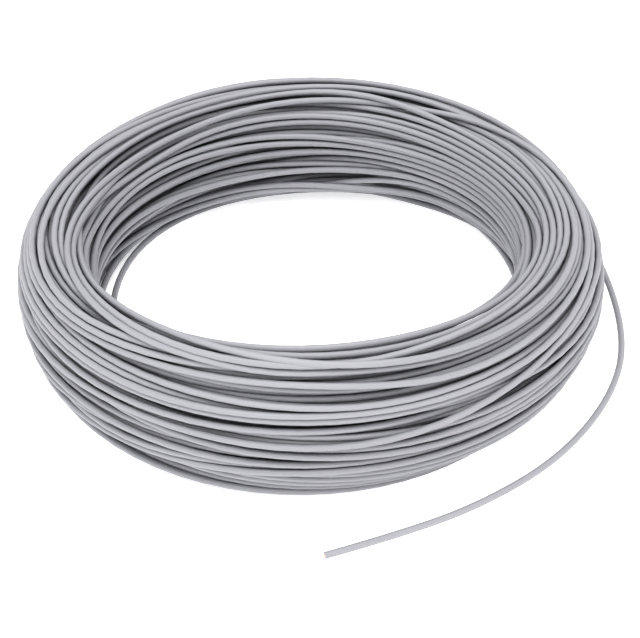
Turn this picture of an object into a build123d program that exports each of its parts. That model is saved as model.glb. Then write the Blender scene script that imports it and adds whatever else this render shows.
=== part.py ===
"""Single-core hook-up wire: 50 m wound into a loose round coil, with one free tail.

The wire is one solid copper conductor in one PVC insulation. The coil lies flat on its underside. Its last
turn leaves the outer side, comes down to the surface and runs part of the way round the coil to a square cut
end. Millimetres, +Z up, origin on the surface under the centre of the coil and tail together.
"""

from build123d import *

import os
from math import cos, pi, radians, sin, sqrt, tan

# The wire
wire_diameter = 1.6  # over the insulation
wire_radius = wire_diameter / 2
conductor_diameter = 0.64  # solid copper, 22 AWG
core_depth = 7.2  # how far in from the cut end the copper is drawn, within the last straight stretch
wire_length = 50000.0

# The coil: an oval section turned about the coil's axis
coil_outer_radius = 71.0
coil_inner_radius = 51.3
coil_height = 35.4
foot_depth = 0.5  # how far the oval settles into a flat underside
section_sides = 16  # the oval has flats, because a smooth one needs four times the triangles

# The last turn, where it lifts off the coil's side
lead_out_radius = 55.0
lead_out_angle = 48.0  # degrees, from the coil's inside to the start of the tail
lead_out_clearance = 0.2  # between the coil's side and the start of the tail

# The tail's route, from the coil's side down to the surface and round the front: each point is its angle
# round the coil in degrees, how far it stands out from the coil's side, as a share of the coil's outer radius,
# and how far it is lifted off the surface, as a share of the coil's height.
start_stand_out = (wire_radius + lead_out_clearance) / coil_outer_radius
tail_route_points = [
    (28, start_stand_out, 0.373),
    (11, 0.063, 0.19),
    (-6.5, 0.106, 0),
    (-23.5, 0.106, 0),
    (-43, 0.107, 0),
    (-62, 0.115, 0),
    (-78, 0.147, 0),
    (-87.5, 0.197, 0),
]

def beside_coil(angle, stand_out, lift):
    """A point of the wire's centre line about the coil's axis, from the three figures of the route."""
    radius = coil_outer_radius * (1 + stand_out)
    return (radius * cos(radians(angle)), radius * sin(radians(angle)), wire_radius + lift * coil_height)

def corner_radii(points):
    """The radius of each corner of a route: as large as its two runs allow."""
    radii = []
    for before, corner, after in zip(points, points[1:], points[2:]):
        run_in, run_out = Vector(*corner) - Vector(*before), Vector(*after) - Vector(*corner)
        half_turn = radians(run_in.get_angle(run_out)) / 2
        radii.append(0.45 * min(run_in.length, run_out.length) / tan(half_turn))
    return radii


tail_points = [beside_coil(*point) for point in tail_route_points]
tail_radii = corner_radii(tail_points)
print("tail corner radii:", [round(radius, 1) for radius in tail_radii])

# The origin is under the centre of the coil and its tail together, so the coil's axis stands a little off it.
with BuildLine():
    tail_route = FilletPolyline(*tail_points, radius=tail_radii)
tail_box = tail_route.bounding_box()
tail_length = tail_route.length
cut_direction = tail_route % 1
reach_right = tail_box.max.X + wire_radius
reach_front = -tail_box.min.Y + wire_radius * sqrt(1 - cut_direction.Y**2)
axis_x = (coil_outer_radius - reach_right) / 2
axis_y = (reach_front - coil_outer_radius) / 2
coil_plane = Plane(origin=(axis_x, axis_y, 0))
section_plane = Plane(origin=(axis_x, axis_y, 0), x_dir=(1, 0, 0), z_dir=(0, -1, 0))

# The coil's section fills the space between its two radii and its height: the flats touch them.
middle_radius = (coil_outer_radius + coil_inner_radius) / 2
half_width = (coil_outer_radius - coil_inner_radius) / 2
half_height = (coil_height + foot_depth) / 2
section_centre = half_height - foot_depth
half_side = pi / section_sides
section_points = [
    (half_width * cos(turn) / cos(half_side), half_height * sin(turn) / cos(half_side))
    for turn in [half_side * (2 * side + 1) for side in range(section_sides)]
]

# How many turns that length makes, and how much of the section they fill: they cross, and nothing ties them.
turns = (wire_length - tail_length) / (2 * pi * middle_radius)
fill_fraction = turns * wire_radius**2 / (half_width * half_height)
print(f"turns: {turns:.1f}, filling {fill_fraction:.2f} of the section, tail: {tail_length:.1f}")

os.makedirs("parts", exist_ok=True)

# Coiled wire: the outer shape of the wound turns, with the last of them rising out of it to the tail
with BuildPart() as coiled_wire:
    with BuildSketch(section_plane):
        with Locations((middle_radius, section_centre)):
            Polygon(*section_points, align=None)
        with Locations((middle_radius, 0)):
            Rectangle(2 * half_width, foot_depth, align=(Align.CENTER, Align.MAX), mode=Mode.SUBTRACT)
    revolve(axis=Axis((axis_x, axis_y, 0), (0, 0, 1)))

    tail_start = coil_plane.from_local_coords(tail_route @ 0)
    back_along_tail = (tail_route % 0) * -1
    towards_axis = coil_plane.origin - tail_start
    lead_out_plane = Plane(
        origin=tail_start, x_dir=back_along_tail, z_dir=back_along_tail.cross(towards_axis)
    )
    with BuildLine(lead_out_plane):
        lead_out = JernArc(start=(0, 0), tangent=(1, 0), radius=lead_out_radius, arc_size=lead_out_angle)
    with BuildSketch(Plane(origin=tail_start, z_dir=back_along_tail)):
        Circle(wire_radius)
    sweep(path=lead_out)
coiled_wire.part.label = "coiled_wire"
export_step(coiled_wire.part, "parts/coiled_wire.step")

# Tail insulation: the free end's tube, bored for the copper where the cut end shows it
end_plane = Plane(origin=coil_plane.from_local_coords(tail_route @ 1), z_dir=cut_direction * -1)
with BuildPart() as tail_insulation:
    with BuildLine(coil_plane):
        tube_route = FilletPolyline(*tail_points, radius=tail_radii)
    with BuildSketch(Plane(origin=tube_route @ 0, z_dir=tube_route % 0)):
        Circle(wire_radius)
    sweep(path=tube_route)
    tube_volume = tail_insulation.part.volume
    with BuildSketch(end_plane):
        Circle(conductor_diameter / 2)
    extrude(amount=core_depth, mode=Mode.SUBTRACT)
tail_insulation.part.label = "tail_insulation"
export_step(tail_insulation.part, "parts/tail_insulation.step")

# Tail conductor: the copper in that bore, cut off square with the insulation
with BuildPart() as tail_conductor:
    with BuildSketch(end_plane):
        Circle(conductor_diameter / 2)
    extrude(amount=core_depth)
tail_conductor.part.label = "tail_conductor"
export_step(tail_conductor.part, "parts/tail_conductor.step")

# The swept tube's volume against its section times its length
print(f"tube volume: {tube_volume:.3f} of {pi * wire_radius**2 * tail_length:.3f}")
print(f"coil axis: {axis_x:.3f}, {axis_y:.3f}, cut end: {end_plane.origin}, inwards {end_plane.z_dir}")
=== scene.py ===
# %% [markdown]
# # A loose coil of single-core wire
#
# Fifty metres of hook-up wire, wound by hand: a grey PVC sleeve over one solid copper core. About 130 turns
# lie in a ring as tall as two fingers are wide. The last turn leaves the ring's outer side and ends in a
# square cut on the table. The whole thing is one wire, so it is made as one line, and that line is dressed.
#
# The frame comes first. It holds the CAD solids, and every place below is worked out from them, in metres.

# %% The frame
import math

import bpy
import numpy as np
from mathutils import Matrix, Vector


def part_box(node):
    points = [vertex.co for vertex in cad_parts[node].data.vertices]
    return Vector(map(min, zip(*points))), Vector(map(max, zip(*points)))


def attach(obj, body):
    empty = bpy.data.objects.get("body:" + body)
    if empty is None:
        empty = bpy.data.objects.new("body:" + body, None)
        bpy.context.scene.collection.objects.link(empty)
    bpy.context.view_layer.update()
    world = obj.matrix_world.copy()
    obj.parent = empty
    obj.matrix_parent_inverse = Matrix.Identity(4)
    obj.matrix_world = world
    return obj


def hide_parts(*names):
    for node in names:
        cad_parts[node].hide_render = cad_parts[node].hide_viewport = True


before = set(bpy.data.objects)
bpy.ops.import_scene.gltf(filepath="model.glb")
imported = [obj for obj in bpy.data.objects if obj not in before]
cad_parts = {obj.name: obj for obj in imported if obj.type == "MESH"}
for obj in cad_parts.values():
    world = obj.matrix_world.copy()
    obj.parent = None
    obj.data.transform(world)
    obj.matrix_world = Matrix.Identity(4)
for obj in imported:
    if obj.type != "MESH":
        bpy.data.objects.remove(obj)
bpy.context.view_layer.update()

print("CAD nodes:", sorted(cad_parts))

# %% [markdown]
# The frame's origin is under the middle of the coil and its tail together, so the coil's own axis stands a
# little off it. Its place and size are read from the solid, and only the wire's thickness is given here.

# %% The coil's place and size
coil_low, coil_high = (Vector(corner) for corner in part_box("coiled_wire"))
axis = Vector(((coil_low.x + coil_high.x) / 2, (coil_low.y + coil_high.y) / 2, 0))
coil_radius = (coil_high.x - coil_low.x) / 2
coil_height = coil_high.z
wire_diameter = 0.0016
wire_radius = wire_diameter / 2
print(f"coil: {coil_radius * 2000:.1f} mm across, {coil_height * 1000:.1f} mm tall, axis at {axis[:]}")

# %% [markdown]
# ## The camera
#
# A camera is easier to place by what it looks at than by where it stands: a point to aim at, how high it
# looks down from, and how far away it is. A long lens from half a metre away keeps the ring's far side
# nearly as large as its near side, as in a catalogue picture.

# %% Camera
view_elevation = math.radians(37.59)
view_distance = 7 * coil_radius
view_lens = 111.86
aim = axis + Vector((0.00271, 0, -0.00018))

camera_data = bpy.data.cameras.new("camera")
camera_data.lens = view_lens
camera_data.sensor_width = 36
camera_data.clip_start = 0.01
camera = bpy.data.objects.new("camera", camera_data)
bpy.context.scene.collection.objects.link(camera)
towards_camera = Vector((0, -math.cos(view_elevation), math.sin(view_elevation)))
camera.location = aim + view_distance * towards_camera
camera.rotation_euler = towards_camera.to_track_quat("Z", "Y").to_euler()
bpy.context.scene.camera = camera
print("camera at", [round(value, 3) for value in camera.location])

# %% [markdown]
# ## The free tail
#
# The tail's route is a short list of given points, the same list that the CAD tube follows. Each
# point is an angle round the coil, how far it stands out from the coil's side as a share of the coil's
# radius, and how far it is lifted off the table as a share of the coil's height.

# %% The tail's route
tail_route_points = [
    (28, (wire_radius + 0.0002) / coil_radius, 0.373),
    (11, 0.063, 0.19),
    (-6.5, 0.106, 0),
    (-23.5, 0.106, 0),
    (-43, 0.107, 0),
    (-62, 0.115, 0),
    (-78, 0.147, 0),
    (-87.5, 0.197, 0),
]


def beside_coil(angle, stand_out, lift):
    """A point of the tail, from the three figures of the route."""
    radius = coil_radius * (1 + stand_out)
    turn = math.radians(angle)
    height = wire_radius + lift * coil_height
    return axis + Vector((radius * math.cos(turn), radius * math.sin(turn), height))


tail_points = [beside_coil(*point) for point in tail_route_points]
print("tail:", len(tail_points), "points, from", [round(value, 4) for value in tail_points[0]])

# %% [markdown]
# ## The turns
#
# A real coil isn't a stack of equal rings. The hand lays each turn near the last one, and every so often
# lets it wander across the others, so the strands lie nearly side by side but cross at small angles. Nothing
# ties them, so there are dark gaps, and a few strands stand proud.
#
# It could be a simulation of winding, but that is slow and hard to steer. Instead the ring is cut into
# slices like a cake. In a slice each strand is a small disc, and only two things have to hold: discs don't
# overlap, and a strand moves smoothly from one slice to the next. Each disc starts at a home in the ring's
# oval section, and a few hundred rounds of pushing apart and smoothing settle the rest.

# %% Slices
turn_count = 130
slices = 72
station_count = turn_count * slices
slice_step = 2 * math.pi / slices
lead_out_angle = math.radians(tail_route_points[0][0] + 5)
stations = np.arange(station_count)
station_angle = lead_out_angle + slice_step * (station_count - 1 - stations)
print(station_count, "stations, one every", round(math.degrees(slice_step)), "degrees")

# %% [markdown]
# The section is an oval, and it isn't the same all round, because nothing held the turns while they were
# wound. They pile up higher at the front than at the back, and are pushed together where the hand gripped
# them. A mean size and one to three gentle waves round the ring say all of that.

# %% The oval section round the ring
outer_size = (0.0713, (0.0008, 0.0), (0.0, 0.0008))
inner_size = (0.0512, (-0.0003, -0.0027), (-0.0005, 0.0021), (0.0, 0.0017))
top_height = (0.0346, (-0.0010, -0.0042), (-0.0027, 0.0))


def uneven(angle, size):
    """A mean size with waves on it, each a cosine and a sine share."""
    waves = [c * np.cos(k * angle) + s * np.sin(k * angle) for k, (c, s) in enumerate(size[1:], 1)]
    return size[0] + sum(waves)


def section_at(angle):
    """The oval at an angle round the ring: its centre's radius and height, half its width and height."""
    outer, inner, top = (uneven(angle, size) for size in (outer_size, inner_size, top_height))
    half_height = (top + 0.0004) / 2
    return (outer + inner) / 2, top - half_height, (outer - inner) / 2, half_height


centre_radius, centre_height, half_width, half_height = section_at(station_angle)
print("height from", round(2000 * half_height.min(), 1), "to", round(2000 * half_height.max(), 1), "mm")

# %% [markdown]
# Homes are laid out in layers, like the skins of an onion: dense outside, where the strands show, and loose
# inside. A home is an angle round the oval and a depth below its surface.

# %% Homes in layers
random = np.random.default_rng(3)
layer_depths = [0.5, 1.6, 2.8, 4.2]  # of the strands' centres, in wire diameters
layer_sizes = [49, 36, 27, 18]
scatter = 0.45  # how unevenly a layer's homes are spaced, as a share of their spacing


def layer_angles(size):
    """Uneven angles round the oval, spaced by distance along it and not by angle."""
    shares = (np.arange(size) + random.uniform(0, 1) + random.uniform(-scatter, scatter, size)) / size
    fine = np.linspace(0, 2 * np.pi, 721)
    speed = np.hypot(half_width.mean() * np.sin(fine), half_height.mean() * np.cos(fine))
    run = np.concatenate([[0], np.cumsum((speed[1:] + speed[:-1]) / 2)])
    return np.interp(shares % 1, run / run[-1], fine)


home_angle = np.concatenate([layer_angles(size) for size in layer_sizes])
home_depth = np.repeat(layer_depths, layer_sizes) * wire_diameter
print(len(home_angle), "homes in", len(layer_sizes), "layers")

# %% [markdown]
# The wire visits every home once, the deepest first, and each time goes on to one that is near. This
# greedy walk is what decides which strands cross: a long step lays one turn across its neighbours.

# %% The order in which the wire visits its homes
choice = 16  # how many of the deepest homes left the wire may choose from
wander = 4.0 * wire_diameter  # how much longer than the shortest a step may seem
out_of_order = 0.25 * wire_diameter  # how unevenly the layers are filled


def home_place(index):
    """Where a home lies in the mean oval."""
    across = half_width.mean() - home_depth[index]
    upright = half_height.mean() - home_depth[index]
    return across * np.cos(home_angle[index]), upright * np.sin(home_angle[index])


last_degrees = 30  # the last home's angle round the oval, near to where the tail starts


def visiting_order():
    """A walk through all the homes, deep ones first, by near but uneven steps."""
    skin = range(layer_sizes[0])
    last = min(skin, key=lambda home: abs(home_angle[home] - math.radians(last_degrees)))
    waiting = [home for home in range(turn_count) if home != last]
    waiting.sort(key=lambda home: -home_depth[home] + random.normal(0, out_of_order))
    order = [waiting.pop(0)]
    while waiting:
        near = waiting[:choice]
        x, z = home_place(np.array(near))
        here_x, here_z = home_place(order[-1])
        effort = np.hypot(x - here_x, z - here_z) + random.exponential(wander, len(near))
        order.append(waiting.pop(int(np.argmin(effort))))
    return [*order, last]


order = visiting_order()
print("first homes:", order[:6], "last homes:", order[-6:])

# %% [markdown]
# Between two homes the strand slides over part of a turn. Where it slides decides the slope of the crossing,
# and how far, so both are uneven. A strand that slides far is lifted a little, so that it goes over.

# %% Each station's home
drift_step = 0.17  # how far a slide may move from the last one's place, in turns
shortest_slide, longest_slide = 0.3, 1.3  # in turns
switch_drift = np.cumsum(random.normal(0, drift_step, turn_count))
switch_width = np.exp(random.uniform(np.log(shortest_slide), np.log(longest_slide), turn_count))
lift_height = 0.5 * wire_diameter
far_step = 0.5  # radians round the oval
steepest = 1.0  # radians round the oval in one turn of the ring


def smooth_step(value):
    """Goes from 0 to 1 with no corner at either end."""
    value = np.clip(value, 0, 1)
    return value**3 * (value * (6 * value - 15) + 10)


def station_homes():
    """The section angle and depth that each station is drawn to."""
    position = stations / slices
    steps = np.angle(np.exp(1j * np.diff(home_angle[order])))
    deeper = np.diff(home_depth[order])
    angle = np.full(station_count, home_angle[order[0]])
    depth = np.full(station_count, home_depth[order[0]])
    for turn in range(turn_count - 1):
        width = max(switch_width[turn], abs(steps[turn]) / steepest)
        start = turn + 1 + switch_drift[turn] - width / 2
        share = smooth_step((position - start) / width)
        lift = lift_height * min(abs(steps[turn]) / far_step, 1)
        angle += share * steps[turn]
        depth += share * deeper[turn] - lift * 4 * share * (1 - share)
    return angle, depth


wanted_angle, wanted_depth = station_homes()
print("the wire goes round the oval", round((wanted_angle[-1] - wanted_angle[0]) / (2 * np.pi), 1), "times")

# %% [markdown]
# Slow waves make each turn lie a little differently from its neighbours. They are sums of a few sines whose
# lengths are a turn or so.

# %% Slow waves along the wire
def slow_wave(size, shortest=0.6, longest=3.0, terms=40):
    """A smooth random wave along the wire, of that usual size."""
    lengths = random.uniform(shortest, longest, terms) * slices
    phases = random.uniform(0, 2 * np.pi, terms)
    total = np.zeros(station_count)
    for length, phase in zip(lengths, phases):
        total += np.sin(2 * np.pi * stations / length + phase)
    return size * total * math.sqrt(2 / terms)


angle_wave = 0.1  # radians round the oval
depth_wave = 0.35 * wire_diameter
wanted_angle = wanted_angle + slow_wave(angle_wave)
wanted_depth = wanted_depth + slow_wave(depth_wave)


def in_section(angle, depth):
    """Radius and height of a section angle and depth, at every station."""
    return (
        centre_radius + (half_width - depth) * np.cos(angle),
        centre_height + (half_height - depth) * np.sin(angle),
    )


print("waves added to", station_count, "stations")

# %% [markdown]
# A few strands catch the eye: they cross the others high up, or spring away from them. Those are led one
# by one. A guide is a list of places along one strand: degrees round the ring, degrees round the oval (0 is
# outermost, 90 is the top, 180 faces the hole) and depth in wire diameters.

# %% Guides on the oval
guides = {
    "far left, over the others": [
        (212, 55, 0.4), (188, 70, 0.3), (179, 82, 0.2), (165, 94, 0.1), (145, 102, 0.0), (122, 106, 0.0),
        (100, 101, 0.2), (80, 94, 0.4),
    ],
    "far left, second crossing": [
        (242, 60, 0.5), (232, 68, 0.4), (222, 80, 0.3), (213, 92, 0.3), (203, 104, 0.2), (192, 114, 0.1),
        (181, 121, 0.1), (167, 129, 0.0), (147, 133, 0.0), (128, 131, 0.0), (109, 123, 0.1), (84, 116, 0.3),
    ],
    "over the near rim": [
        (350, 75, 0.4), (325, 63, 0.3), (300, 57, 0.2), (274, 59, 0.1), (256, 74, 0.1), (248, 87, 0.0),
        (235, 100, 0.0), (222, 112, 0.0), (213, 122, 0.0), (205, 130, 0.1), (190, 136, 0.3),
    ],
    "along the near rim": [
        (352, 152, 0.4), (340, 146, 0.4), (325, 137, 0.4), (300, 129, 0.4), (270, 127, 0.4), (235, 130, 0.5),
        (200, 140, 0.5),
    ],
    "below the rim's wedge": [
        (205, 119, 0.5), (214, 106, 0.3), (220, 95, 0.3), (229, 81, 0.2), (239, 72, 0.2), (249, 65, 0.2),
        (261, 61, 0.3),
    ],
    "beside the rim's strand": [
        (342, 120, 0.5), (330, 112, 0.6), (320, 107, 0.7), (310, 105, 0.7), (300, 106, 0.6), (285, 111, 0.5),
        (270, 115, 0.5), (240, 121, 0.6), (215, 130, 0.7),
    ],
    "up the far inner side": [
        (118, 262, 0.4), (101, 242, 0.2), (90, 222, 0.1), (77, 205, 0.1), (62, 190, 0.2),
    ],
    "across the front": [
        (250, 2, 0.4), (262, -5, 0.2), (272, -8, 0.1), (283, -6, 0.0), (292, 0, 0.0), (301, 6, 0.0),
        (311, 14, 0.0), (322, 26, 0.1), (335, 38, 0.4),
    ],
}
shortest_fade = 50  # degrees over which a strand comes to its guide and leaves it again, at the least
stiffness_reach = 2.2  # stations
taps = np.arange(-6, 7)
spread_kernel = np.exp(-0.5 * (taps / stiffness_reach) ** 2)
spread_kernel /= spread_kernel.sum()
station_degrees = np.degrees(station_angle)


def read_guide(points, degrees):
    """The two values of a guide at those places round the ring, with its corners rounded."""
    places, first, second = np.array(sorted(points), float).T
    fine = np.arange(places[0] - 30, places[-1] + 30, 360 / slices)
    width = len(taps) // 2
    rounded = [
        np.convolve(np.pad(np.interp(fine, places, values), width, "edge"), spread_kernel, "valid")
        for values in (first, second)
    ]
    return [np.interp(degrees, fine, values) for values in rounded]


def guide_share(points, degrees, fades):
    """How much a guide holds at those places: 1 along it, fading to 0 past both ends."""
    low, high = min(points)[0], max(points)[0]
    return smooth_step((degrees - low) / fades[0] + 1) * smooth_step((high - degrees) / fades[1] + 1)


print(len(guides), "guides on the oval")

# %% [markdown]
# The turn that follows a guide is the one that lies nearest to both its ends, so that it has the least way to
# go. It comes to the guide and leaves it slowly, and the more slowly the further off it is. The turn just
# before or after one that is already led isn't chosen: they are one strand, and the two guides would meet.

# %% The turns that follow the guides
wanted_radius, wanted_height = in_section(wanted_angle, wanted_depth)
free = np.ones(station_count)  # how far a station gives way when it is pushed
held = np.zeros(station_count)  # how firmly it is drawn to the place that is wanted
led_firmly = 0.06
slow_coming = 2.2  # degrees of fade for each degree that a turn is off
outer_turns = list(range(turn_count - layer_sizes[0], turn_count - 2))


def follow(name, points, ends):
    """Leads one turn along a guide: the one that comes nearest to the oval degrees at its ends."""
    far_off = {}
    for turn in outer_turns:
        degrees = station_degrees - 360 * (turn_count - 1 - turn)
        places = [min(points)[0] - shortest_fade, max(points)[0] + shortest_fade]
        beyond_ends = [int(np.argmin(abs(degrees - place))) for place in places]
        turned = wanted_angle[beyond_ends] - np.radians(ends)
        far_off[turn] = np.degrees(abs(np.angle(np.exp(1j * turned))))
    turn = min(far_off, key=lambda turn: far_off[turn].max())
    outer_turns[:] = [other for other in outer_turns if abs(other - turn) > 1]
    degrees = station_degrees - 360 * (turn_count - 1 - turn)
    share = guide_share(points, degrees, np.maximum(slow_coming * far_off[turn], shortest_fade))
    led = np.nonzero(share > 0)[0]
    share, degrees = share[led], degrees[led]
    first, second = read_guide(points, degrees)
    if first.max() > 1:  # degrees round the oval, and not a radius in metres
        turned = np.radians(first) - wanted_angle[led]
        angle = wanted_angle[led] + share * np.angle(np.exp(1j * turned))
        depth = wanted_depth[led] + share * (second * wire_diameter - wanted_depth[led])
        first = centre_radius[led] + (half_width[led] - depth) * np.cos(angle)
        second = centre_height[led] + (half_height[led] - depth) * np.sin(angle)
        wanted_radius[led], wanted_height[led] = first, second
    else:
        wanted_radius[led] += share * (first - wanted_radius[led])
        wanted_height[led] += share * (second - wanted_height[led])
    free[led] *= 1 - share
    held[led] += led_firmly * share
    print("turn", turn, "goes", name, "- its ends are off by", np.round(far_off[turn]), "degrees")


for name, points in guides.items():
    follow(name, points, [min(points)[1], max(points)[1]])

# %% [markdown]
# One inner turn lies loose on the table. It springs off the ring's inner side on the left, where the table
# shows behind it, and comes back behind the near rim. Three low strands beside it lean out over the hole a
# little. These aren't on the oval, so their guides give a radius and a height in metres.

# %% The loose turn and the low inner strands
loose_turn = [
    (48, 0.0624, 0.0008), (59, 0.0598, 0.0008), (70, 0.0580, 0.0008), (81, 0.0568, 0.0008),
    (93, 0.0558, 0.0008), (106, 0.0554, 0.0008), (119, 0.0554, 0.0008), (131, 0.0554, 0.0008),
    (139, 0.0548, 0.0009), (147, 0.0536, 0.0009), (155, 0.0518, 0.0009), (165, 0.0498, 0.0009),
    (174, 0.0482, 0.0012), (187, 0.0474, 0.0030), (200, 0.0481, 0.0060),
]
low_inner_left = [
    (120, 0.0550, 0.0030), (135, 0.0541, 0.0030), (145, 0.0538, 0.0030), (153, 0.0541, 0.0030),
    (160, 0.0540, 0.0030), (165, 0.0530, 0.0030), (170, 0.0519, 0.0030), (185, 0.0512, 0.0050),
]
next_on_inner_left = [
    (120, 0.0568, 0.0026), (143, 0.0556, 0.0026), (158, 0.0558, 0.0028), (168, 0.0540, 0.0032),
    (185, 0.0532, 0.0055),
]
low_inner_right = [
    (-12, 0.0518, 0.0060), (0, 0.0516, 0.0035), (10, 0.0526, 0.0020), (18, 0.0545, 0.0018),
    (30, 0.0562, 0.0018), (38, 0.0589, 0.0018), (49, 0.0609, 0.0018),
]
follow("loose, on the table", loose_turn, [250, 200])
follow("low on the inner left", low_inner_left, [230, 215])
follow("next to that on the inner left", next_on_inner_left, [225, 210])
follow("low on the inner right", low_inner_right, [195, 240])

# %% [markdown]
# The last turn is led all the way, down the outer side and over the strands it crosses, to where the tail
# starts. It gives way less and less, so that it meets the tail's first point exactly.

# %% The last turn
lead_out = [
    (150, 0.0700, 0.0270), (110, 0.0702, 0.0255), (80, 0.0707, 0.0232), (60, 0.0714, 0.0203),
    (45, 0.0718, 0.0174), (33, 0.0720, 0.0150),
]
led = station_angle <= math.radians(lead_out[0][0])
lead_angles = np.radians([place[0] for place in lead_out])[::-1]
wanted_radius[led] = np.interp(station_angle[led], lead_angles, [place[1] for place in lead_out][::-1])
wanted_height[led] = np.interp(station_angle[led], lead_angles, [place[2] for place in lead_out][::-1])
free[led] = np.linspace(1, 0, led.sum())
held[led] = np.linspace(0, 1, led.sum()) ** 2
print(int(led.sum()), "stations lead out to the tail")

# %% [markdown]
# Loose turns leave long dark slits between them, and a few hollows. Nothing in the layers makes those, so
# they are kept open by phantom discs: they push strands aside as another strand would, but they aren't drawn.
# Some slits are listed one by one, and others are strewn all round. Two hollows are at the ring's foot on the
# far side, where the table shows under the strands.

# %% Gaps that are kept open
gaps = [  # width in wire diameters, then degrees round the ring and round the oval
    (1.15, [(238, 45), (248, 40), (257, 34), (268, 31), (281, 31), (297, 32)]),
    (1.4, [(299, -3), (306, 0), (311, 6), (316, 12), (323, 19), (328, 30)]),
    (1.0, [(285, 41), (300, 42), (310, 45), (316, 49), (320, 56), (326, 66)]),
    (0.8, [(283, 60), (292, 59), (298, 59), (307, 64)]),
    (1.0, [(330, 34), (335, 39), (340, 48), (348, 57)]),
    (0.5, [(326, 122), (337, 131), (346, 138), (354, 141)]),
    (0.9, [(232, 12), (242, 15), (247, 12), (257, 8)]),
    (0.8, [(221, 14), (228, 9), (231, 5), (237, 0)]),
    (0.9, [(213, -29), (225, -36), (233, -43), (242, -47), (256, -50)]),
    (1.5, [(218, 107), (224, 99), (229, 94), (239, 85), (249, 77)]),
    (0.9, [(249, 76), (256, 72), (263, 68)]),
    (0.8, [(165, 84), (153, 94), (144, 95), (134, 97), (124, 96), (112, 93)]),
    (1.3, [(174, 108), (160, 117), (147, 119), (135, 120), (120, 115)]),
    (0.8, [(161, 135), (151, 138), (143, 140), (130, 143)]),
    (1.8, [(158, 160), (148, 163), (140, 165), (129, 168)]),
    (1.2, [(76, 212), (65, 200), (55, 192), (42, 185)]),
]
hollows = [  # width in wire diameters, then degrees round the ring, radius and height
    (1.9, [(86, 0.0588, 0.0012), (78, 0.0600, 0.0012), (68, 0.0614, 0.0012)]),
    (1.5, [(98, 0.0572, 0.0012), (92, 0.0578, 0.0012), (86, 0.0584, 0.0012)]),
]
strewn_gaps = 22
for _ in range(strewn_gaps):
    start, length = random.uniform(40, 310), random.uniform(25, 80)  # degrees round the ring
    oval_start, drift = random.uniform(0, 360), random.uniform(-14, 14)  # degrees round the oval
    gaps.append((random.uniform(0.4, 0.8), [(start, oval_start), (start + length, oval_start + drift)]))
print(len(gaps), "gaps are kept open")

# %% The phantom discs
phantoms = []
taper_degrees = 15  # over which a gap closes at its ends
turn_degrees = station_degrees[-slices:]
for width, points in gaps:
    low, high = min(points)[0], max(points)[0]
    places = np.nonzero((turn_degrees > low) & (turn_degrees < high))[0]
    degrees = turn_degrees[places]
    oval_degrees, _ = read_guide([(*point, 0) for point in points], degrees)
    oval = section_at(np.radians(degrees))
    taper = np.sqrt(np.clip(np.minimum(degrees - low, high - degrees) / taper_degrees, 0, 1))
    phantoms.append((
        places,
        oval[0] + (oval[2] - wire_diameter) * np.cos(np.radians(oval_degrees)),
        oval[1] + (oval[3] - wire_diameter) * np.sin(np.radians(oval_degrees)),
        width / 2 * wire_diameter * taper + wire_radius,
    ))
for width, points in hollows:
    places = np.nonzero((turn_degrees > min(points)[0]) & (turn_degrees < max(points)[0]))[0]
    middle_r, middle_z = read_guide(points, turn_degrees[places])
    reach = width / 2 * wire_diameter + wire_radius
    phantoms.append((places, middle_r, middle_z, np.full(len(places), reach)))


def keep_gaps_open(radius, height):
    """Pushes strands out of the phantom discs, in place."""
    by_turn_r, by_turn_z = radius.reshape(turn_count, slices), height.reshape(turn_count, slices)
    total_r, total_z = np.zeros_like(by_turn_r), np.zeros_like(by_turn_z)
    for places, middle_r, middle_z, reach in phantoms:
        across, up = by_turn_r[:, places] - middle_r, by_turn_z[:, places] - middle_z
        distance = np.hypot(across, up) + 1e-9
        push = 0.5 * np.clip(reach - distance, 0, None) / distance
        total_r[:, places] += push * across
        total_z[:, places] += push * up
    radius += free * np.convolve(total_r.ravel(), spread_kernel, "same")
    height += free * np.convolve(total_z.ravel(), spread_kernel, "same")


print(sum(len(phantom[0]) for phantom in phantoms), "phantom discs")

# %% [markdown]
# Settling is a loop. Each round draws the strands towards their homes, smooths them, keeps them inside the
# oval and off the table, and then pushes apart any two discs that overlap. Two things make it look like wire.
# A push is spread over the stations on both sides, because stiff wire can't kink. And where two strands
# want the same place, the one that was wound later goes outside.

# %% Discs that are near each other
first_turn, second_turn = np.triu_indices(turn_count, 1)
spacing = 1.02 * wire_diameter  # between strands that touch


def near_pairs(radius, height, reach):
    """The pairs of stations in one slice that are closer than reach, the earlier turn first."""
    by_turn_r, by_turn_z = radius.reshape(turn_count, slices), height.reshape(turn_count, slices)
    apart = (by_turn_r[first_turn] - by_turn_r[second_turn]) ** 2
    apart += (by_turn_z[first_turn] - by_turn_z[second_turn]) ** 2
    pair, place = np.nonzero(apart < reach**2)
    return first_turn[pair] * slices + place, second_turn[pair] * slices + place


def outward(radius, height):
    """The direction out of the oval at each station."""
    across = (radius - centre_radius) / half_width**2
    up = (height - centre_height) / half_height**2
    size = np.hypot(across, up) + 1e-9
    return across / size, up / size


def push_apart(radius, height, pairs, strength, outside=0.0):
    """Moves overlapping discs away from each other, in place, the later one outwards by a share."""
    one, two = pairs
    across, up = radius[two] - radius[one], height[two] - height[one]
    distance = np.hypot(across, up) + 1e-9
    overlap = np.clip(spacing - distance, 0, None)
    out_across, out_up = outward(radius, height)
    across = across / distance + outside * out_across[two]
    up = up / distance + outside * out_up[two]
    share = strength * 0.5 * overlap / np.hypot(across, up)
    for values, offset in ((radius, across), (height, up)):
        move = share * offset
        total = np.bincount(two, move, station_count) - np.bincount(one, move, station_count)
        values += free * np.convolve(total, spread_kernel, "same")


print(len(first_turn), "pairs of turns")

# %% Smoothing, and staying in the oval
pull_back = 0.35  # the share of its way back that a stray disc goes in one round


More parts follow.
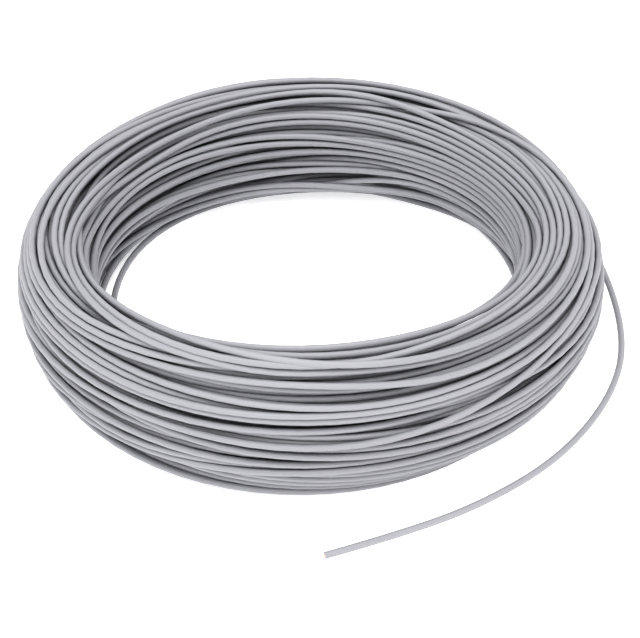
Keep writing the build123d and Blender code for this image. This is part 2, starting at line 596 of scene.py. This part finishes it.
def smooth(values):
    """Each station moves halfway to the middle of its two neighbours, in place."""
    middle = (values[:-2] + values[2:]) / 2
    values[1:-1] += 0.5 * (1 - held[1:-1]) * (middle - values[1:-1])


def stay_inside(radius, height):
    """Draws discs that have left the oval back towards it, and lifts them off the table."""
    across = (radius - centre_radius) / (half_width - wire_radius)
    up = (height - centre_height) / (half_height - wire_radius)
    out = np.sqrt(across**2 + up**2)
    back = free * np.clip(1 - 1 / np.maximum(out, 1e-6), 0, None) * pull_back
    radius -= back * (radius - centre_radius)
    height -= back * (height - centre_height)
    np.maximum(height, wire_radius, out=height)


print("smoothing moves", station_count - 2, "stations")

# %% Settling
rounds = 600
first_draw, last_draw = 0.05, 0.001  # how strongly a strand is drawn to its home
later_outside = 0.6  # how much the later of two strands goes outwards, at first
look_again = 5  # rounds between two searches for near pairs
look_reach = 1.4 * wire_diameter
pushes_each_round, last_pushes = 3, 80
radius, height = wanted_radius.copy(), wanted_height.copy()
for settling_round in range(rounds):
    progress = settling_round / rounds
    draw = first_draw * (1 - progress) ** 2 + last_draw
    for values, wanted in ((radius, wanted_radius), (height, wanted_height)):
        values += np.maximum(draw * free, held) * (wanted - values)
        smooth(values)
    stay_inside(radius, height)
    if settling_round % look_again == 0:
        pairs = near_pairs(radius, height, look_reach)
    for _ in range(pushes_each_round):
        push_apart(radius, height, pairs, 1.0, outside=later_outside * (1 - progress))
    keep_gaps_open(radius, height)
for _ in range(last_pushes):
    push_apart(radius, height, pairs, 0.8)
np.maximum(height, wire_radius, out=height)

pairs = near_pairs(radius, height, wire_diameter)
one, two = pairs
closeness = np.hypot(radius[one] - radius[two], height[one] - height[two]) / wire_diameter
print(f"{len(closeness)} touching pairs, closest {closeness.min():.2f} diameters apart,"
      f" {np.mean(closeness < 0.9):.3f} of them under 0.9, {np.mean(closeness < 0.75):.4f} under 0.75")

# %% [markdown]
# ## One line for the whole wire
#
# The turns and the tail become one NURBS spline of order 3: a line that glides past its points instead of
# through them. On a circle it runs a little inside its points, so the turns' points go out by that much.
# The order and the endpoint setting come after the points, because before them they don't hold.

# %% The wire's spline
glide = 0.75 + 0.25 * math.cos(slice_step)
turn_points = [
    axis + Vector((r / glide * math.cos(a), r / glide * math.sin(a), z))
    for r, a, z in zip(radius, station_angle, height)
]
route_data = bpy.data.curves.new("wire_route", "CURVE")
route_data.dimensions = "3D"
route_data.resolution_u = 8
spline = route_data.splines.new("NURBS")
route_points = turn_points + tail_points
spline.points.add(len(route_points) - 1)
spline.points.foreach_set("co", [value for point in route_points for value in (*point, 1)])
spline.order_u = 3
spline.use_endpoint_u = True
route = bpy.data.objects.new("wire_route", route_data)
bpy.context.scene.collection.objects.link(route)
print(len(route_points), "points on one spline")

# %% [markdown]
# The insulation is swept along the line that the spline draws, so the places of its rings are read from that
# line.

# %% The line that the spline draws
bpy.context.view_layer.update()
line_mesh = bpy.data.meshes.new_from_object(route.evaluated_get(bpy.context.evaluated_depsgraph_get()))
line = np.empty(len(line_mesh.vertices) * 3)
line_mesh.vertices.foreach_get("co", line)
line = line.reshape(-1, 3)
bpy.data.objects.remove(route)

# The coil's rings are as far apart as its points, and the tail keeps every point of the line. Its bends reach
# back over the last two points of the coil.
tail_share = (len(tail_points) + 2) / len(route_points)
tail_from = int(len(line) * (1 - tail_share))
ring_centres = np.concatenate([line[:tail_from:route_data.resolution_u], line[tail_from:]])
run_lengths = np.linalg.norm(np.diff(ring_centres, axis=0), axis=1)
print(len(line), "points on the line,", len(ring_centres), "rings,", round(run_lengths.sum(), 3), "m long")

# %% [markdown]
# Cutters leave a square end whose rim is hardly rounded. One more ring close to the last is enough for it:
# the sweep makes the last ring smaller, and the short step between the two is the rounding.

# %% A clean end
rounding = 0.00007  # how far from the cut the insulation's edge starts to round
end_direction = ring_centres[-1] - ring_centres[-2]
end_direction /= np.linalg.norm(end_direction)
ring_centres = np.insert(ring_centres, -1, ring_centres[-1] - rounding * end_direction, axis=0)
print("cut end at", np.round(ring_centres[-1], 4))

# %% [markdown]
# ## Nodes without the typing
#
# Node trees take many lines when each link is spelt out. Two small classes keep them short: one adds a node
# and fills its sockets, and one wraps a socket so that sums of sockets can be written as sums.

# %% Helpers for node trees
class Socket:
    """An output socket that takes part in sums: each operator adds a Math node."""

    def __init__(self, tree, output):
        self.tree, self.output = tree, output

    def math(self, operation, first, second):
        return self.tree.add("ShaderNodeMath", {"operation": operation}, {0: first, 1: second})

    def __add__(self, other):
        return self.math("ADD", self, other)

    def __mul__(self, other):
        return self.math("MULTIPLY", self, other)

    def __rsub__(self, other):
        return self.math("SUBTRACT", other, self)

    __radd__, __rmul__ = __add__, __mul__


class Tree:
    """A node tree that nodes are added to in one line each."""

    def __init__(self, tree):
        self.tree = tree

    def add(self, kind, settings=None, sockets=None, output=0):
        """Adds a node, sets it up, fills its sockets with values or links, and gives one of its outputs."""
        node = self.tree.nodes.new(kind)
        for name, value in (settings or {}).items():
            setattr(node, name, value)
        self.fill(node, sockets or {})
        return Socket(self, node.outputs[output]) if node.outputs else node

    def fill(self, node, sockets):
        """Gives a node's sockets their values or links."""
        for name, value in sockets.items():
            if isinstance(value, Socket):
                self.tree.links.new(value.output, node.inputs[name])
            else:
                node.inputs[name].default_value = value


print("helpers ready")

# %% [markdown]
# ## The insulation's finish
#
# PVC that has been drawn through a die is matt, with faint lines along it, and a little uneven in colour.
# The lines have to run along the wire wherever it goes, so they can't follow the room's directions. The
# tube carries two attributes for that: how far along the wire each point is, and where round it.

# %% Insulation
darker_grey, lighter_grey = (0.29, 0.29, 0.307, 1), (0.4, 0.4, 0.42, 1)


def lengthwise_noise(tree, round_scale, length_scale, detail=2.0):
    """Noise that is stretched along the wire."""
    along = tree.add("ShaderNodeAttribute", {"attribute_name": "along"}, output=2)
    around = tree.add("ShaderNodeAttribute", {"attribute_name": "around"}, output=1)
    spread = tree.add(
        "ShaderNodeVectorMath", {"operation": "SCALE"}, {"Vector": around, "Scale": round_scale}
    )
    place = tree.add("ShaderNodeCombineXYZ", {}, {"Z": along * length_scale})
    joined = tree.add("ShaderNodeVectorMath", {"operation": "ADD"}, {0: spread, 1: place})
    return tree.add("ShaderNodeTexNoise", {}, {"Vector": joined, "Scale": 1.0, "Detail": detail})


def insulation_finish():
    """Matt light grey PVC."""
    material = bpy.data.materials.new("grey_pvc")
    material.use_nodes = True
    tree = Tree(material.node_tree)
    shader = material.node_tree.nodes["Principled BSDF"]
    drawn_lines = lengthwise_noise(tree, 2.2, 4.0)
    patches = lengthwise_noise(tree, 0.3, 22.0, detail=3.0)
    shade = drawn_lines * 0.5 + patches * 0.5
    colour = tree.add(
        "ShaderNodeMix",
        {"data_type": "RGBA"},
        {"Factor": shade, "A": darker_grey, "B": lighter_grey},
        output=2,
    )
    relief = tree.add("ShaderNodeBump", {}, {"Strength": 0.35, "Distance": 0.00004, "Height": drawn_lines})
    tree.fill(shader, {
        "Base Color": colour,
        "Roughness": patches * 0.15 + 0.42,
        "Normal": relief,
        "Specular IOR Level": 0.4,
    })
    return material


insulation = insulation_finish()
print("insulation:", len(insulation.node_tree.nodes), "nodes")

# %% [markdown]
# ## The insulation itself
#
# A pipe along a line is what Geometry Nodes do best: the line becomes a curve, a small circle is swept along
# it, and the ends are capped. A NURBS curve's own bevel would do it too, but would put rings where the
# spline wants them. Here each ring is one of the line's points, so the ring count is known.

# %% The tree that sweeps the insulation
def input_socket(tree, name, kind, value=None):
    """A named input of a node group."""
    socket = tree.interface.new_socket(name, in_out="INPUT", socket_type=kind)
    if value is not None:
        socket.default_value = value
    return socket


def sweep_tree():
    """Sweeps a circle along a line of edges. Gives the tree and its named inputs."""
    group = bpy.data.node_groups.new("sweep_insulation", "GeometryNodeTree")
    inputs = {
        "Line": input_socket(group, "Line", "NodeSocketGeometry"),
        "Radius": input_socket(group, "Radius", "NodeSocketFloat", wire_radius),
        "Sides": input_socket(group, "Sides", "NodeSocketInt", 10),
        "End Size": input_socket(group, "End Size", "NodeSocketFloat", 0.9),
        "Finish": input_socket(group, "Finish", "NodeSocketMaterial"),
    }
    group.interface.new_socket("Geometry", in_out="OUTPUT", socket_type="NodeSocketGeometry")
    tree = Tree(group)
    entry = group.nodes.new("NodeGroupInput")
    given = {name: Socket(tree, entry.outputs[name]) for name in inputs}

    line = tree.add("GeometryNodeMeshToCurve", {}, {"Mesh": given["Line"]})
    along = tree.add("GeometryNodeSplineParameter", output=1)
    line = tree.add(
        "GeometryNodeStoreNamedAttribute",
        {"data_type": "FLOAT"},
        {"Geometry": line, "Name": "along", "Value": along},
    )
    circle = tree.add(
        "GeometryNodeCurvePrimitiveCircle", {}, {"Resolution": given["Sides"], "Radius": given["Radius"]}
    )
    position = tree.add("GeometryNodeInputPosition")
    around = tree.add("ShaderNodeVectorMath", {"operation": "NORMALIZE"}, {0: position})
    circle = tree.add(
        "GeometryNodeStoreNamedAttribute",
        {"data_type": "FLOAT_VECTOR"},
        {"Geometry": circle, "Name": "around", "Value": around},
    )
    at_ends = tree.add("GeometryNodeCurveEndpointSelection")
    size = 1 - at_ends * (1 - given["End Size"])
    tube = tree.add(
        "GeometryNodeCurveToMesh",
        {},
        {"Curve": line, "Profile Curve": circle, "Scale": size, "Fill Caps": True},
    )
    tube = tree.add("GeometryNodeSetShadeSmooth", {}, {"Geometry": tube})
    tube = tree.add("GeometryNodeRealizeInstances", {}, {"Geometry": tube})
    tube = tree.add("GeometryNodeSetMaterial", {}, {"Geometry": tube, "Material": given["Finish"]})
    tree.add("NodeGroupOutput", {}, {"Geometry": tube})
    return group, inputs


sweep, sweep_inputs = sweep_tree()
print("sweep tree:", len(sweep.nodes), "nodes")

# %% [markdown]
# The tree is put on the line as a modifier. Its inputs are set by their identifiers, and the result is made a
# plain mesh, because the export keeps meshes and not modifiers. Ten sides look round at this size.

# %% Making the insulation
def plain_mesh(thing, name):
    """The object's evaluated shape as a plain mesh object of that name, in place of the object."""
    bpy.context.view_layer.update()
    shape = bpy.data.meshes.new_from_object(thing.evaluated_get(bpy.context.evaluated_depsgraph_get()))
    bpy.data.objects.remove(thing)
    shape.name = name
    made = bpy.data.objects.new(name, shape)
    bpy.context.scene.collection.objects.link(made)
    return made


def swept_along(name, centres, values):
    """A tube along the centres, by the sweep tree with those values for its inputs."""
    outline = bpy.data.meshes.new(name + "_line")
    outline.from_pydata(centres.tolist(), [(i, i + 1) for i in range(len(centres) - 1)], [])
    line_object = bpy.data.objects.new(name + "_line", outline)
    bpy.context.scene.collection.objects.link(line_object)
    modifier = line_object.modifiers.new("sweep", "NODES")
    modifier.node_group = sweep
    for label, value in values.items():
        modifier[sweep_inputs[label].identifier] = value
    return plain_mesh(line_object, name)


insulation_piece = swept_along(
    "wire_insulation",
    ring_centres,
    {"Radius": wire_radius, "Sides": 10, "End Size": 0.9, "Finish": insulation},
)
triangles = sum(len(face.vertices) - 2 for face in insulation_piece.data.polygons)
print("insulation:", triangles, "triangles")

# %% [markdown]
# ## The copper core
#
# The cut end shows the end of the core. Cutters squeeze the soft copper a little, so it stands a hair proud
# of the insulation with a rounded rim, and the blade leaves fine marks across it.

# %% Copper
darker_copper, lighter_copper = (0.72, 0.36, 0.24, 1), (0.92, 0.56, 0.42, 1)


def copper_finish():
    """Copper, freshly cut, with marks across it."""
    material = bpy.data.materials.new("copper")
    material.use_nodes = True
    tree = Tree(material.node_tree)
    shader = material.node_tree.nodes["Principled BSDF"]
    place = tree.add("ShaderNodeTexCoord", output=3)
    marks = tree.add("ShaderNodeTexNoise", {}, {"Vector": place, "Scale": 9000.0, "Detail": 3.0})
    colour = tree.add(
        "ShaderNodeMix",
        {"data_type": "RGBA"},
        {"Factor": marks, "A": darker_copper, "B": lighter_copper},
        output=2,
    )
    tree.fill(shader, {
        "Base Color": colour,
        "Metallic": 1.0,
        "Roughness": marks * 0.25 + 0.25,
        "Normal": tree.add("ShaderNodeBump", {}, {"Strength": 0.3, "Distance": 0.00002, "Height": marks}),
    })
    return material


copper = copper_finish()
print("copper:", len(copper.node_tree.nodes), "nodes")

# %% [markdown]
# The core is turned from a profile, as on a lathe. Only its last few millimetres are made, because the
# insulation hides the rest.

# %% The core's end
core_radius = 0.00032
core_depth = 0.0072
core_proud = 0.00006
end_point = Vector(ring_centres[-1])
outwards = Vector(end_direction)
core_profile = [  # how far out of the insulation, and radius
    (-core_depth, core_radius),
    (0.0, core_radius),
    (core_proud * 0.7, core_radius * 0.93),
    (core_proud, core_radius * 0.8),
]


def turned_piece(name, profile, start, direction, material, sides=24):
    """A closed round piece from a profile of (along, radius) pairs."""
    turn = direction.to_track_quat("Z", "Y")
    angles = [2 * math.pi * k / sides for k in range(sides)]
    vertices = [
        start + turn @ Vector((r * math.cos(angle), r * math.sin(angle), z))
        for z, r in profile
        for angle in angles
    ]
    faces = [
        (row + k, row + (k + 1) % sides, row + sides + (k + 1) % sides, row + sides + k)
        for row in range(0, sides * (len(profile) - 1), sides)
        for k in range(sides)
    ]
    faces.append(tuple(range(sides))[::-1])
    faces.append(tuple((len(profile) - 1) * sides + k for k in range(sides)))
    shape = bpy.data.meshes.new(name)
    shape.from_pydata([tuple(v) for v in vertices], [], faces)
    shape.materials.append(material)
    made = bpy.data.objects.new(name, shape)
    bpy.context.scene.collection.objects.link(made)
    return made


core_piece = turned_piece("wire_core", core_profile, end_point, outwards, copper)
print("core:", len(core_piece.data.polygons), "faces")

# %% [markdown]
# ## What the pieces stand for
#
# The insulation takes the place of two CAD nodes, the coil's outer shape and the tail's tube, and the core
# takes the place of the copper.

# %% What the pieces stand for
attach(insulation_piece, "root")
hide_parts("coiled_wire", "tail_insulation")
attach(core_piece, "root")
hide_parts("tail_conductor")

# %% [markdown]
# ## Table and light
#
# A pale, plain table and large soft lights. The light comes from all round, so the gaps between the strands
# go dark by themselves: light can't reach into them. The table glows a little, as a light table does, so the
# coil throws hardly any shadow on it.

# %% Table
table_reach = 3.0
table_glow = 0.3


def plain_table():
    """A wide pale floor."""
    shape = bpy.data.meshes.new("table")
    corners = [(x * table_reach, y * table_reach, 0) for x, y in ((-1, -1), (1, -1), (1, 1), (-1, 1))]
    shape.from_pydata(corners, [], [(0, 1, 2, 3)])
    table = bpy.data.objects.new("table", shape)
    bpy.context.scene.collection.objects.link(table)
    material = bpy.data.materials.new("pale_table")
    material.use_nodes = True
    shader = material.node_tree.nodes["Principled BSDF"]
    shader.inputs["Base Color"].default_value = (0.93, 0.93, 0.93, 1)
    shader.inputs["Roughness"].default_value = 0.9
    shader.inputs["Specular IOR Level"].default_value = 0.1
    shader.inputs["Emission Color"].default_value = (1, 1, 1, 1)
    shader.inputs["Emission Strength"].default_value = table_glow
    shape.materials.append(material)
    return table


table = plain_table()
print("table:", table.dimensions[:2])

# %% [markdown]
# Most of the light is the bright room. Two large lamps, one above and one in front, only give the strands a
# lit side. A look with strong contrast deepens the gaps and keeps the table white.

# %% Lights
room_light = 0.61


def soft_light(name, place, size, power):
    """A square soft light at a place, aimed at the coil."""
    data = bpy.data.lights.new(name, "AREA")
    data.size = size
    data.energy = power
    light = bpy.data.objects.new(name, data)
    light.location = axis + Vector(place)
    light.rotation_euler = Vector(place).to_track_quat("Z", "Y").to_euler()
    bpy.context.scene.collection.objects.link(light)
    return light


soft_light("top_light", (0.0, -0.15, 1.2), 0.9, 5)
soft_light("front_light", (-0.1, -0.75, 0.9), 0.8, 3)
world = bpy.data.worlds.new("studio")
world.use_nodes = True
world.node_tree.nodes["Background"].inputs["Color"].default_value = (1, 1, 1, 1)
world.node_tree.nodes["Background"].inputs["Strength"].default_value = room_light
bpy.context.scene.world = world
bpy.context.scene.view_settings.view_transform = "Standard"
bpy.context.scene.view_settings.look = "Very High Contrast"
